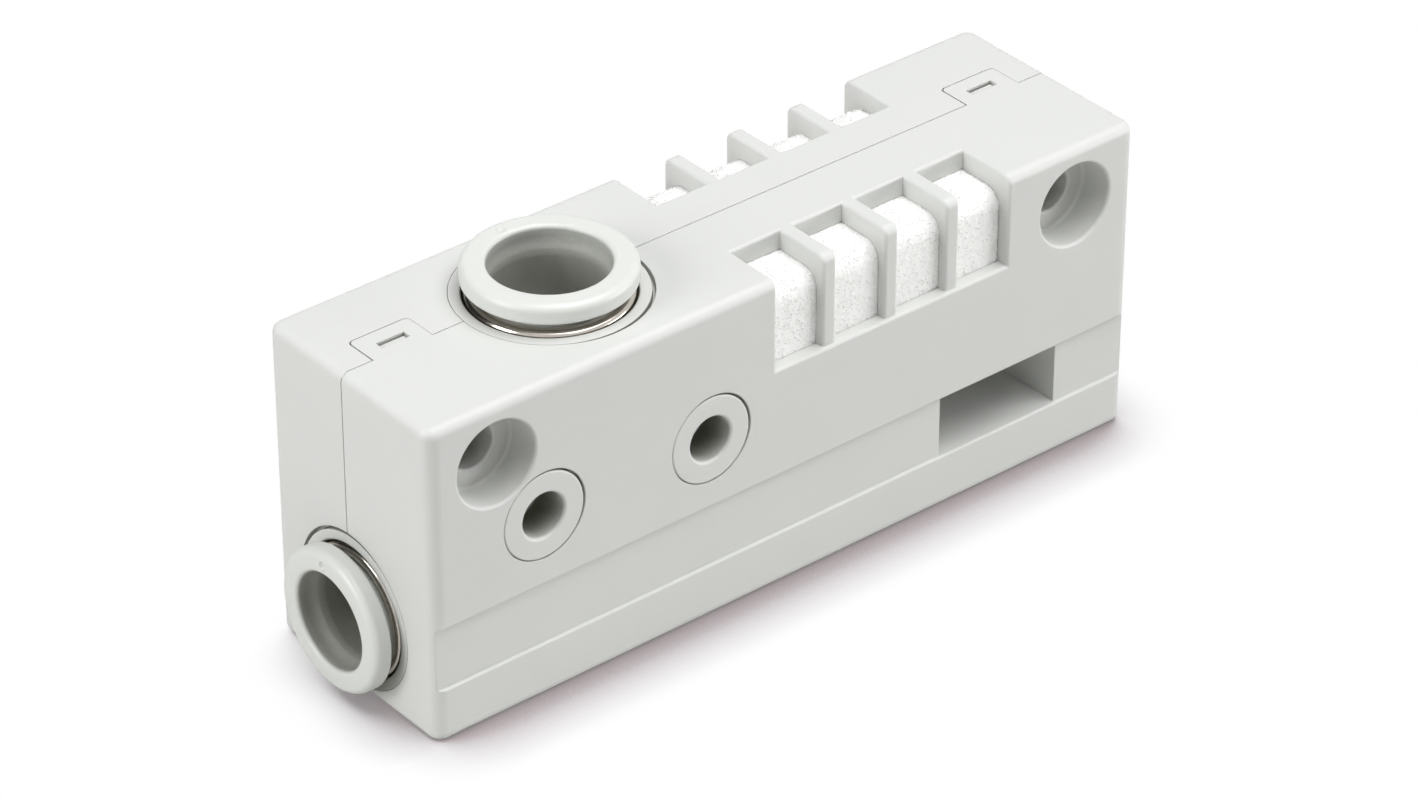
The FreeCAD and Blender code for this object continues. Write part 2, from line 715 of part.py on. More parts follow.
def nozzle():
    """Jet nozzle: wide inlet, narrow throat and a slight flare at the tip."""
    inlet = SUPPLY.bore - STOP_WIDTH - STATIC_CLEARANCE
    throat = CARTRIDGE_COLLAR + DIFFUSER_WALL
    return collared([
        (inlet, 0),
        (COLLAR_RADIUS, 0),
        (COLLAR_RADIUS, CARTRIDGE_COLLAR),
        (CHANNEL_RADIUS - DIFFUSER_WALL, CARTRIDGE_COLLAR),
        (NOZZLE_TIP_RADIUS, NOZZLE_LENGTH),
        (NOZZLE_EXIT_RADIUS, NOZZLE_LENGTH),
        (NOZZLE_THROAT_RADIUS, throat),
    ])


def diffuser(throat_radius, length):
    """Diffuser: bell mouth, throat and a long slow flare."""
    mouth = throat_radius + DIFFUSER_FLARE
    exit_radius = throat_radius + DIFFUSER_FLARE
    barrel = CHANNEL_RADIUS - STATIC_CLEARANCE
    return collared([
        (mouth, 0),
        (COLLAR_RADIUS, 0),
        (COLLAR_RADIUS, CARTRIDGE_COLLAR),
        (barrel, CARTRIDGE_COLLAR),
        (barrel, length),
        (exit_radius, length),
        (throat_radius, CARTRIDGE_COLLAR),
    ])


def channel_cutter():
    """Ejector channel with a groove for each collar, and the exhaust duct at its end."""
    starts = cartridge_starts()
    channel_end = starts["second_diffuser"] + SECOND_DIFFUSER_LENGTH
    cutters = [cylinder(CHANNEL_RADIUS, (CHANNEL_START - STATIC_CLEARANCE, 0, CHANNEL_HEIGHT),
                        (channel_end + STATIC_CLEARANCE, 0, CHANNEL_HEIGHT))]
    for start in starts.values():
        cutters.append(cylinder(
            COLLAR_RADIUS + STATIC_CLEARANCE,
            (start - STATIC_CLEARANCE, 0, CHANNEL_HEIGHT),
            (start + CARTRIDGE_COLLAR + STATIC_CLEARANCE, 0, CHANNEL_HEIGHT),
        ))
    cutters.append(box(
        (channel_end, -EXHAUST_WIDTH / 2, CHANNEL_HEIGHT - CHANNEL_RADIUS),
        (channel_end + EXHAUST_LENGTH, EXHAUST_WIDTH / 2, WINDOW_SILL),
    ))
    return cutters


def suction_places():
    """Centres along X of the two suction holes, over the two gaps in the channel."""
    starts = cartridge_starts()
    first = starts["first_diffuser"] - FIRST_GAP / 2
    second = starts["second_diffuser"] - SECOND_GAP / 2
    return first, second


def stud_place():
    """Centre along X of the flap's stud, beside the second suction hole."""
    return suction_places()[1] - FLAP_LENGTH + SUCTION_HOLE_RADIUS + 2 * FLAP_STUD_RADIUS


def upright_bar(radius, x, low, high):
    """Round bar along Z in the body's middle plane."""
    return cylinder(radius, (x, 0, low), (x, 0, high))


def chamber_cutter():
    """Vacuum chamber with the screen's groove, suction holes and the stud's hole."""
    groove_top = SCREEN_BOTTOM + SCREEN_THICKNESS + STATIC_CLEARANCE
    floor = CHAMBER_BOTTOM + STATIC_CLEARANCE
    stud_end = CHAMBER_BOTTOM - CHAMBER_FLOOR / 2
    cutters = [
        upright_bar(CHAMBER_RADIUS, VACUUM_X, CHAMBER_BOTTOM, CHAMBER_TOP),
        upright_bar(SCREEN_RADIUS + STATIC_CLEARANCE, VACUUM_X, SCREEN_BOTTOM, groove_top),
        upright_bar(FLAP_STUD_RADIUS + STATIC_CLEARANCE, stud_place(), stud_end, floor),
    ]
    for x in suction_places():
        cutters.append(upright_bar(SUCTION_HOLE_RADIUS, x, CHANNEL_HEIGHT, floor))
    return cutters


def suction_screen():
    """Perforated disc that keeps dirt out of the channel."""
    disc = upright_bar(SCREEN_RADIUS, VACUUM_X, SCREEN_BOTTOM, SCREEN_BOTTOM + SCREEN_THICKNESS)
    reach = int(CHAMBER_RADIUS / SCREEN_HOLE_PITCH)
    holes = []
    for row in range(-reach, reach + 1):
        for column in range(-reach, reach + 1):
            x = column * SCREEN_HOLE_PITCH
            y = row * SCREEN_HOLE_PITCH
            if math.hypot(x, y) + SCREEN_HOLE_PITCH / 2 < CHAMBER_RADIUS:
                holes.append(cylinder(SCREEN_HOLE_RADIUS, (VACUUM_X + x, y, SCREEN_BOTTOM - OVERSHOOT),
                                      (VACUUM_X + x, y, SCREEN_BOTTOM + OVERSHOOT)))
    return disc.cut(Part.makeCompound(holes))


def check_valve_flap():
    """Rubber flap over the second suction hole, held by its moulded stud."""
    right = suction_places()[1] + SUCTION_HOLE_RADIUS + FLAP_STUD_RADIUS
    leaf = box(
        (right - FLAP_LENGTH, -FLAP_WIDTH / 2, CHAMBER_BOTTOM),
        (right, FLAP_WIDTH / 2, CHAMBER_BOTTOM + FLAP_THICKNESS),
    )
    stud_end = CHAMBER_BOTTOM - CHAMBER_FLOOR / 2 + STATIC_CLEARANCE
    stud = upright_bar(FLAP_STUD_RADIUS, stud_place(), stud_end, CHAMBER_BOTTOM + FLAP_THICKNESS / 2)
    return leaf.fuse(stud)


def tongue(side, left_gap, right_gap, rear_gap):
    """Latch tongue of the front shell at one end of the top, or with gaps its recess."""
    near = side * (BODY_LENGTH / 2 - TONGUE_END_INSET)
    far = side * (BODY_LENGTH / 2 - TONGUE_END_INSET - TONGUE_LENGTH)
    reach = PARTING_OFFSET + TONGUE_REACH + rear_gap
    block = box(
        (min(near, far) - left_gap, PARTING_OFFSET - OVERSHOOT, BODY_HEIGHT - TONGUE_THICKNESS),
        (max(near, far) + right_gap, reach, BODY_HEIGHT),
    )
    corners = [edge for edge in edges_where(block, lambda p: p.y > reach - NEAR) if is_upright(edge)]
    return block.makeFillet(TONGUE_CORNER_RADIUS, corners)


def catch(side, tight_gap, loose_gap, low, high):
    """Snap catch of a tongue between two heights: its hole or, with gaps, the nub in it."""
    near = side * (BODY_LENGTH / 2 - TONGUE_END_INSET - CATCH_END_GAP)
    far = side * (BODY_LENGTH / 2 - TONGUE_END_INSET - CATCH_END_GAP - CATCH_LENGTH)
    rear = PARTING_OFFSET + TONGUE_REACH - CATCH_REACH_GAP
    return box(
        (min(near, far) + tight_gap, rear - CATCH_WIDTH + tight_gap, low),
        (max(near, far) - loose_gap, rear - loose_gap, high),
    )


def interior():
    """Everything that is hollow inside or cut into the closed body."""
    cutters = [
        placed(VACUUM.seat(VACUUM_PRY_ANGLE), VACUUM_PLACE),
        placed(SUPPLY.seat(SUPPLY_PRY_ANGLE), SUPPLY_PLACE),
        silencer_block(STATIC_CLEARANCE),
        passages(),
        slot_cutter(),
    ]
    cutters.extend(channel_cutter())
    cutters.extend(chamber_cutter())
    for x in port_places().values():
        cutters.append(placed(port_seat(), front_placement(x, PORT_HEIGHT)))
    for side in (-1, 1):
        cutters.append(screw_hole(side))
    return cutters


def shells():
    """Front and rear half of the body, split at the parting plane and latched on top."""
    whole = outer_body()
    far = BODY_LENGTH
    front_half = whole.common(box((-far, -far, -far), (far, PARTING_OFFSET, far)))
    rear_half = whole.common(box((-far, PARTING_OFFSET, -far), (far, far, far)))
    for side in (-1, 1):
        hole = catch(side, 0, 0, 0, BODY_HEIGHT + OVERSHOOT)
        recess = tongue(side, LOOSE_SIDE_GAP, CLOSE_SIDE_GAP, SEAM_WIDTH)
        nub_root = BODY_HEIGHT - TONGUE_THICKNESS - CATCH_WIDTH
        nub = catch(side, CLOSE_SIDE_GAP, LOOSE_SIDE_GAP, nub_root, BODY_HEIGHT - CATCH_DROP)
        front_half = front_half.fuse(tongue(side, 0, 0, 0).cut(hole))
        rear_half = rear_half.cut(recess).fuse(nub)
    front_half = front_half.removeSplitter()
    skin = box(
        (LEFT_END + SEAM_DEPTH, PARTING_OFFSET - OVERSHOOT, SEAM_DEPTH),
        (RIGHT_END - SEAM_DEPTH, PARTING_OFFSET + OVERSHOOT, BODY_HEIGHT - SEAM_DEPTH),
    )
    seam = box((-far, PARTING_OFFSET, -far), (far, PARTING_OFFSET + SEAM_WIDTH, far)).cut(skin)
    rear_half = rear_half.cut(seam)
    for cutter in interior():
        front_half = front_half.cut(cutter)
        rear_half = rear_half.cut(cutter)
    return front_half, rear_half


def all_pieces():
    """Every piece of the ejector by its name."""
    front_shell, rear_shell = shells()
    pieces = {
        "front_shell": front_shell,
        "rear_shell": rear_shell,
        "silencer": silencer(),
        "suction_screen": suction_screen(),
        "check_valve_flap": check_valve_flap(),
    }
    for name, shape in VACUUM.pieces(VACUUM_MARK_ANGLE).items():
        pieces["vacuum_" + name] = placed(shape, VACUUM_PLACE)
    for name, shape in SUPPLY.pieces(SUPPLY_MARK_ANGLE).items():
        pieces["supply_" + name] = placed(shape, SUPPLY_PLACE)
    for side, x in port_places().items():
        pieces[side + "_port_bushing"] = placed(port_bushing(), front_placement(x, PORT_HEIGHT))
        pieces[side + "_port_o_ring"] = placed(port_o_ring(), front_placement(x, PORT_HEIGHT))
    channel_shapes = {
        "nozzle": nozzle(),
        "first_diffuser": diffuser(FIRST_THROAT_RADIUS, FIRST_DIFFUSER_LENGTH),
        "second_diffuser": diffuser(SECOND_THROAT_RADIUS, SECOND_DIFFUSER_LENGTH),
    }
    for name, start in cartridge_starts().items():
        pieces[name] = along_channel(channel_shapes[name], start)
        pieces[name + "_o_ring"] = along_channel(collar_ring(), start)
    return pieces


os.makedirs("parts", exist_ok=True)
for piece_name, piece in all_pieces().items():
    piece.exportStep("parts/" + piece_name + ".step")
    print(piece_name, piece.isValid(), len(piece.Solids), round(piece.Volume, 1))
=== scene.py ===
"""Looks of a compact vacuum ejector, piece by piece in the order that it is put together.

Lengths are in metres in the frame's own axes: +X runs along the body away from the supply
fitting, -Y is the face with the counterbored screw holes and +Z is up.
"""
import math

import bpy
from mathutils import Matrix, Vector


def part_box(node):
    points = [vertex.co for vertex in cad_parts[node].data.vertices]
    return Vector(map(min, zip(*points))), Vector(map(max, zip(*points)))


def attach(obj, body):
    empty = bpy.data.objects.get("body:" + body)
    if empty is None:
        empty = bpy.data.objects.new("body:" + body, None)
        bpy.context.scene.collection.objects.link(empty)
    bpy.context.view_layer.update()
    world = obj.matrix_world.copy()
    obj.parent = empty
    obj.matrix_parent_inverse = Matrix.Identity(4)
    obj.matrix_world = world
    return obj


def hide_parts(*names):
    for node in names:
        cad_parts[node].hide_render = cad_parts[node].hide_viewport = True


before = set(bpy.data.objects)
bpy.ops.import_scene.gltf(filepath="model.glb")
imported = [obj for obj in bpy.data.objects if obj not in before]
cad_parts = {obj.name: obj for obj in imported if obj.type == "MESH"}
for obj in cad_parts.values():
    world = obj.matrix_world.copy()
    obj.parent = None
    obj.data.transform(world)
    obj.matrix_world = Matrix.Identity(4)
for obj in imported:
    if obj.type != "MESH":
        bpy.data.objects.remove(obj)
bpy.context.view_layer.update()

MM = 0.001

# Body shells
# Two halves of injection-moulded, glass-filled plastic in a warm light grey. The moulds leave a fine matte skin, a
# faint cloudiness and softly broken edges. Two tongues of the front half latch over the rear half on top.
SHELL_COLOUR = (0.665, 0.672, 0.652, 1.0)
SHELL_SHADE = (0.640, 0.650, 0.632, 1.0)
SHELL_ROUGHNESS = 0.46
SHELL_EDGE_RADIUS = 0.16 * MM
# Painted shade: deep in the shell's recesses its colour goes towards a dark olive, where little light gets in.
SHELL_HOLLOW_SHADE = {"reach": 6 * MM, "start": 0.40, "full": 0.20, "alone": True}
HOLLOW_PAINTED_SHADE = (0.215, 0.215, 0.175, 1.0)
HOLLOW_SHADE_SAMPLES = 8
EDGE_SAMPLES = 4
MOULD_EDGE_RADIUS = 0.08 * MM
MOULD_CLOUD_SIZE = 9 * MM
MOULD_GRAIN_SIZE = 0.22 * MM
MOULD_GRAIN_DEPTH = 0.006 * MM
GLOSS_LIFT = 0.04
CLOUD_ROUGHNESS = 0.05
GRAIN_ROUGHNESS = 0.04
RESIN_IOR = 1.5


class Wire:
    """Output socket of a node. Arithmetic on wires adds the Math nodes that work it out."""

    def __init__(self, wiring, node, socket):
        self.wiring = wiring
        self.made_by = node
        self.socket = socket

    def also(self, name):
        """Another output of the same node."""
        return Wire(self.wiring, self.made_by, find_socket(self.made_by.outputs, name))

    def math(self, operation, *values):
        sockets = dict(enumerate(values))
        return self.wiring.node("ShaderNodeMath", {"operation": operation}, sockets)

    def __add__(self, other):
        return self.math("ADD", self, other)

    def __sub__(self, other):
        return self.math("SUBTRACT", self, other)

    def __rsub__(self, other):
        return self.math("SUBTRACT", other, self)

    def __mul__(self, other):
        return self.math("MULTIPLY", self, other)

    def __truediv__(self, other):
        return self.math("DIVIDE", self, other)

    def __rtruediv__(self, other):
        return self.math("DIVIDE", other, self)

    def __gt__(self, other):
        return self.math("GREATER_THAN", self, other)

    def __lt__(self, other):
        return self.math("LESS_THAN", self, other)

    def __abs__(self):
        return self.math("ABSOLUTE", self)

    __radd__ = __add__
    __rmul__ = __mul__

    def root(self):
        return self.math("SQRT", self)

    def sign(self):
        return self.math("SIGN", self)

    def at_least(self, other):
        return self.math("MAXIMUM", self, other)

    def at_most(self, other):
        return self.math("MINIMUM", self, other)


def find_socket(sockets, key):
    """Socket by its place, identifier or name."""
    if isinstance(key, int):
        return sockets[key]
    for socket in sockets:
        if socket.identifier == key:
            return socket
    return sockets[key]


class Wiring:
    """Adds nodes to one node tree."""

    def __init__(self, tree):
        self.tree = tree

    def node(self, kind, settings=None, values=None, output=0):
        """Add one node: its settings come first, then the values or wires of its sockets."""
        made = self.tree.nodes.new(kind)
        for name, value in (settings or {}).items():
            setattr(made, name, value)
        for key, value in (values or {}).items():
            self.fill(find_socket(made.inputs, key), value)
        if not made.outputs:
            return made
        return Wire(self, made, find_socket(made.outputs, output))

    def fill(self, socket, value):
        """Give a socket a wire or a constant."""
        if isinstance(value, Wire):
            self.tree.links.new(value.socket, socket)
        else:
            socket.default_value = value


class Finish(Wiring):
    """Material of one finish, built round a Principled shader."""

    def __init__(self, name):
        self.material = bpy.data.materials.new(name)
        self.material.use_nodes = True
        super().__init__(self.material.node_tree)
        self.shader = self.tree.nodes["Principled BSDF"]
        self.place = self.node("ShaderNodeTexCoord", output="Object")

    def set(self, **values):
        """Fill sockets of the shader; an underscore stands for a space."""
        for name, value in values.items():
            self.fill(self.shader.inputs[name.replace("_", " ")], value)

    def noise(self, size, detail, distortion=0.0):
        """Noise between 0 and 1 whose features are about one size across."""
        sockets = {"Vector": self.place, "Scale": 1 / size, "Detail": detail, "Distortion": distortion}
        return self.node("ShaderNodeTexNoise", {}, sockets)

    def blend(self, first, second, share):
        """Colour between two colours."""
        sockets = {"Factor_Float": share, "A_Color": first, "B_Color": second}
        return self.node("ShaderNodeMix", {"data_type": "RGBA"}, sockets, "Result_Color")

    def relief(self, height, depth, under=None):
        """Surface normal of a height pattern of the given depth, over another normal."""
        sockets = {"Height": height, "Distance": depth, "Strength": 1.0}
        if under is not None:
            sockets["Normal"] = under
        return self.node("ShaderNodeBump", {}, sockets)

    def painted_hollow_shade(self, reach, start, full, alone):
        """Share of painted shade, from 0 on open faces to 1 deep in recesses, of the piece alone or of all that stands
        round it.
        """
        sky = self.node("ShaderNodeAmbientOcclusion", {"samples": HOLLOW_SHADE_SAMPLES, "only_local": alone},
                        {"Distance": reach}, "AO")
        return ((start - sky) / (start - full)).at_least(0.0).at_most(1.0)

    def broken_edges(self, radius):
        """Normal that rounds every sharp edge by a small radius."""
        return self.node("ShaderNodeBevel", {"samples": EDGE_SAMPLES}, {"Radius": radius})


def moulded_plastic(name, colour, shade, roughness, painted_shade, edge_radius=MOULD_EDGE_RADIUS,
                    cloud_size=MOULD_CLOUD_SIZE):
    """Moulded resin: cloudy colour with painted shade in recesses, uneven gloss, fine grain and softly broken edges."""
    finish = Finish(name)
    clouds = finish.noise(cloud_size, detail=3.0)
    grain = finish.noise(MOULD_GRAIN_SIZE, detail=2.0)
    outside = finish.blend(colour, shade, clouds)
    # Painted shade: the colour goes towards a dark olive deep in recesses, by how little open sky the AO finds.
    finish.set(Base_Color=finish.blend(outside, HOLLOW_PAINTED_SHADE, finish.painted_hollow_shade(**painted_shade)))
    finish.set(Roughness=roughness - GLOSS_LIFT + clouds * CLOUD_ROUGHNESS + grain * GRAIN_ROUGHNESS)
    finish.set(IOR=RESIN_IOR)
    edges = finish.broken_edges(edge_radius)
    finish.set(Normal=finish.relief(grain, MOULD_GRAIN_DEPTH, edges))
    return finish


def dress(finish, *names):
    """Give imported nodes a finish."""
    for name in names:
        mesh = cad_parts[name].data
        mesh.materials.clear()
        mesh.materials.append(finish.material)


shell_plastic = moulded_plastic("shell_plastic", SHELL_COLOUR, SHELL_SHADE, SHELL_ROUGHNESS, SHELL_HOLLOW_SHADE,
                                edge_radius=SHELL_EDGE_RADIUS)
dress(shell_plastic, "front_shell", "rear_shell")

# Silencer
# One block of white sintered fibre behind the ribs of both windows. Its skin is a mat of short fused fibres and beads,
# a quarter to half a millimetre across, with small open pores between them, and loose fibre ends stand out of it.
SILENCER_EDGE_RADIUS = 2.0 * MM
MAT_PITCH = 0.25 * MM
BEAD_SIZE = 0.42 * MM
BEAD_RELIEF = 0.07 * MM
BEAD_MEAN = 0.45
FIBRE_SIZE = 0.24 * MM
FIBRE_RELIEF = 0.09 * MM
FIBRE_CURL = 0.6
WAVE_LENGTH = 1.6 * MM
SKIN_WAVE = 0.06 * MM
PORE_SHARPNESS = 3.0
FIBRE_LENGTH = 0.38 * MM
FIBRE_RADIUS = 0.17 * MM
FIBRE_TILT = 0.7
FIBRE_SPIN = 6.28
FIBRES_PER_AREA = 7.0e6
LOWEST_FACING = -0.5
MOST_ENDWISE = 0.5
NEXT_TO_NOTHING = 1e-6
SEED = 7
FIBRE_WHITE = (0.93, 0.93, 0.92, 1.0)
PORE_PAINTED_SHADE = (0.83, 0.83, 0.82, 1.0)
PORE_SHADE_SHARE = 0.5
FELT_SIZE = 0.23 * MM
FELT_CONTRAST = 1.4
FELT_DEPTH = 0.008 * MM
LEAST_GREY = 0.05
FUZZ_SIZE = 0.10 * MM
FUZZ_ROUGHNESS = 0.1
FIBRE_ROUGHNESS = 0.86
FIBRE_IOR = 1.42


class Shaping(Wiring):
    """Geometry node tree of one piece, with named inputs for its sizes."""

    def __init__(self, name, sizes):
        self.name = name
        self.sizes = sizes
        super().__init__(bpy.data.node_groups.new(name, "GeometryNodeTree"))
        face = self.tree.interface
        self.keys = {}
        for label, value in sizes.items():
            kind = "NodeSocketInt" if isinstance(value, int) else "NodeSocketFloat"
            self.keys[label] = face.new_socket(name=label, in_out="INPUT", socket_type=kind).identifier
        face.new_socket(name="Shape", in_out="OUTPUT", socket_type="NodeSocketGeometry")
        self.entry = self.tree.nodes.new("NodeGroupInput")

    def size(self, label):
        """Wire of one named input."""
        return Wire(self, self.entry, self.entry.outputs[label])

    def vector(self, x=0.0, y=0.0, z=0.0):
        return self.node("ShaderNodeCombineXYZ", {}, {"X": x, "Y": y, "Z": z})

    def scaled(self, vector, share):
        return self.node("ShaderNodeVectorMath", {"operation": "SCALE"}, {0: vector, "Scale": share})

    def moved(self, shape, chosen=None, to=None, by=None):
        """Points of a shape put in a new place or moved by an offset."""
        sockets = {"Geometry": shape}
        if chosen is not None:
            sockets["Selection"] = chosen
        if to is not None:
            sockets["Position"] = to
        if by is not None:
            sockets["Offset"] = by
        return self.node("GeometryNodeSetPosition", {}, sockets)

    def joined(self, *shapes):
        join = self.node("GeometryNodeJoinGeometry")
        for shape in shapes:
            self.tree.links.new(shape.socket, join.made_by.inputs[0])
        return join

    def bake(self, shape, finish):
        """Finish the tree and turn its result into a plain mesh object."""
        whole = self.node("GeometryNodeRealizeInstances", {}, {"Geometry": shape})
        painted = self.node("GeometryNodeSetMaterial", {}, {"Geometry": whole, "Material": finish.material})
        leave = self.node("NodeGroupOutput")
        self.fill(leave.inputs[0], painted)
        carrier = bpy.data.objects.new(self.name + "_carrier", bpy.data.meshes.new(self.name))
        bpy.context.scene.collection.objects.link(carrier)
        modifier = carrier.modifiers.new("shape", "NODES")
        modifier.node_group = self.tree
        for label, value in self.sizes.items():
            modifier[self.keys[label]] = value
        depsgraph = bpy.context.evaluated_depsgraph_get()
        mesh = bpy.data.meshes.new_from_object(carrier.evaluated_get(depsgraph), depsgraph=depsgraph)
        carrier.modifiers.remove(modifier)
        bpy.data.objects.remove(carrier)
        piece = bpy.data.objects.new(self.name, mesh)
        bpy.context.scene.collection.objects.link(piece)
        return piece


def sintered_fibre():
    """White fused fibre: a fine felt, with painted shade that greys the sunk pores."""
    finish = Finish("sintered_fibre")
    pore_shading = finish.node("ShaderNodeAttribute", {"attribute_name": "pore_shading"}, output="Fac")
    fuzz = finish.noise(FUZZ_SIZE, detail=4.0)
    felt = finish.noise(FELT_SIZE, detail=3.0)
    # Painted shade: the colour greys where the skin sinks into pores; the felt adds a random tone of its own.
    felt_grey_and_pore_shade = (pore_shading * PORE_SHADE_SHARE + (felt - 0.5) * FELT_CONTRAST + LEAST_GREY).at_least(0.0).at_most(1.0)
    finish.set(Base_Color=finish.blend(FIBRE_WHITE, PORE_PAINTED_SHADE, felt_grey_and_pore_shade))
    finish.set(Roughness=FIBRE_ROUGHNESS + fuzz * FUZZ_ROUGHNESS, IOR=FIBRE_IOR)
    finish.set(Normal=finish.relief(fuzz + felt, FELT_DEPTH))
    return finish


def silencer_mat(low, high, finish):
    """Block with two rounded long edges, whose skin is pushed in and out by fibres and beads."""
    centre = (low + high) / 2
    size = high - low
    shape = Shaping("silencer_mat", {
        "Length": size.x,
        "Width": size.y,
        "Height": size.z,
        "Edge radius": SILENCER_EDGE_RADIUS,
        "Mat pitch": MAT_PITCH,
        "Bead size": BEAD_SIZE,
        "Bead relief": BEAD_RELIEF,
        "Fibre size": FIBRE_SIZE,
        "Fibre relief": FIBRE_RELIEF,
        "Wave length": WAVE_LENGTH,
        "Skin wave": SKIN_WAVE,
        "Fibre length": FIBRE_LENGTH,
        "Fibre radius": FIBRE_RADIUS,
        "Fibre tilt": FIBRE_TILT,
        "Fibres per area": FIBRES_PER_AREA,
        "Seed": SEED,
    })
    length = shape.size("Length")
    width = shape.size("Width")
    height = shape.size("Height")
    pitch = shape.size("Mat pitch")
    radius = shape.size("Edge radius")
    block = shape.node("GeometryNodeMeshCube", {}, {
        "Size": shape.vector(length, width, height),
        "Vertices X": length / pitch,
        "Vertices Y": width / pitch,
        "Vertices Z": height / pitch,
    })

    # Round the two long top edges: points beyond the flats move out from the square to the circle.
    point = shape.node("GeometryNodeInputPosition")
    x, y, z = [shape.node("ShaderNodeSeparateXYZ", {}, {0: point}, axis) for axis in "XYZ"]
    flat_y = width / 2 - radius
    flat_z = height / 2 - radius
    over_y = (abs(y) - flat_y).at_least(0.0)
    over_z = (z - flat_z).at_least(0.0)
    reach = (over_y * over_y + over_z * over_z).root().at_least(NEXT_TO_NOTHING)
    furthest = over_y.at_least(over_z)
    round_y = y.sign() * (flat_y + over_y * furthest / reach)
    round_z = flat_z + over_z * furthest / reach
    in_corner = (over_y > NEXT_TO_NOTHING) * (over_z > NEXT_TO_NOTHING)
    rounded = shape.moved(block, chosen=in_corner, to=shape.vector(x, round_y, round_z))

    # Push the skin in and out by beads, fibres and a slow wave, and mark the sunk pores for painted shade in the
    # colour.
    place = shape.node("GeometryNodeInputPosition")
    bead = shape.node("ShaderNodeTexVoronoi", {}, {"Vector": place, "Scale": 1 / shape.size("Bead size")})
    fibre = shape.node("ShaderNodeTexNoise", {}, {
        "Vector": place, "Scale": 1 / shape.size("Fibre size"), "Detail": 3.0, "Distortion": FIBRE_CURL,
    })
    wave = shape.node("ShaderNodeTexNoise", {}, {"Vector": place, "Scale": 1 / shape.size("Wave length")})
    push = (BEAD_MEAN - bead) * shape.size("Bead relief") * 2
    push = push + (fibre - 0.5) * shape.size("Fibre relief") * 2
    push = push + (wave - 0.5) * shape.size("Skin wave") * 2
    pore_shading = ((0.5 - fibre) * PORE_SHARPNESS).at_least(0.0).at_most(1.0)
    marked = shape.node("GeometryNodeStoreNamedAttribute", {"data_type": "FLOAT", "domain": "POINT"},
                        {"Geometry": rounded, "Name": "pore_shading", "Value": pore_shading})
    normal = shape.node("GeometryNodeInputNormal")
    rough = shape.moved(marked, by=shape.scaled(normal, push))

    # Loose fibre ends: small three-sided cones on the top and the long sides, each with its own tilt and its root sunk.
    facing = shape.node("ShaderNodeSeparateXYZ", {}, {0: shape.node("GeometryNodeInputNormal")}, "Z")
    across = shape.node("ShaderNodeSeparateXYZ", {}, {0: shape.node("GeometryNodeInputNormal")}, "X")
    seen = (facing > LOWEST_FACING) * (abs(across) < MOST_ENDWISE)
    ends = shape.node("GeometryNodeDistributePointsOnFaces", {}, {
        "Mesh": rough, "Selection": seen, "Density": shape.size("Fibres per area"), "Seed": shape.size("Seed"),
    })
    fibre_end = shape.node("GeometryNodeMeshCone", {}, {
        "Vertices": 3, "Radius Top": 0.0, "Radius Bottom": shape.size("Fibre radius"),
        "Depth": shape.size("Fibre length"),
    })
    tilt = shape.size("Fibre tilt")
    turn = shape.node("FunctionNodeRandomValue", {"data_type": "FLOAT_VECTOR"},
                      {"Min": shape.vector(0 - tilt, 0 - tilt, 0.0), "Max": shape.vector(tilt, tilt, FIBRE_SPIN),
                       "Seed": shape.size("Seed")})
    aim = shape.node("FunctionNodeRotateRotation", {"rotation_space": "LOCAL"},
                     {"Rotation": ends.also("Rotation"), "Rotate By": turn})
    roots = shape.moved(ends, by=shape.scaled(ends.also("Normal"), 0 - shape.size("Fibre radius")))
    fibres = shape.node("GeometryNodeInstanceOnPoints", {}, {"Points": roots, "Instance": fibre_end, "Rotation": aim})
    mat = shape.node("GeometryNodeSetShadeSmooth", {}, {"Geometry": rough, "Shade Smooth": True})
    tufts = shape.node("GeometryNodeRealizeInstances", {}, {"Geometry": fibres})
    tufts = shape.node("GeometryNodeSetShadeSmooth", {}, {"Geometry": tufts, "Shade Smooth": False})
    whole = shape.joined(mat, tufts)
    seated = shape.node("GeometryNodeTransform", {}, {"Geometry": whole, "Translation": tuple(centre)})
    return shape.bake(seated, finish)


silencer_low, silencer_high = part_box("silencer")
silencer = silencer_mat(silencer_low, silencer_high, sintered_fibre())
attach(silencer, "housing")
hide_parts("silencer")

# Nozzle and diffusers
# The brass jet nozzle and two resin diffusers lie in the channel behind the supply fitting. All three are turned
# pieces that an O-ring seals, and they are only seen through the open bores.
BRASS_COLOUR = (0.71, 0.53, 0.26, 1.0)
BRASS_SHADE = (0.62, 0.44, 0.20, 1.0)
BRASS_BLOTCH_SIZE = 1.6 * MM
BRASS_ROUGHNESS = 0.22
LATHE_PITCH = 0.09 * MM
LATHE_WAVINESS = 2.0
LATHE_ROUGHNESS = 0.08
LATHE_DEPTH = 0.002 * MM
BLOTCH_ROUGHNESS = 0.06
DIFFUSER_COLOUR = (0.76, 0.75, 0.70, 1.0)
DIFFUSER_SHADE = (0.72, 0.71, 0.66, 1.0)
DIFFUSER_ROUGHNESS = 0.38
# Painted shade: the diffusers' colour goes towards a dark olive deep in their recesses.
DIFFUSER_HOLLOW_SHADE = {"reach": 6 * MM, "start": 0.55, "full": 0.12, "alone": True}


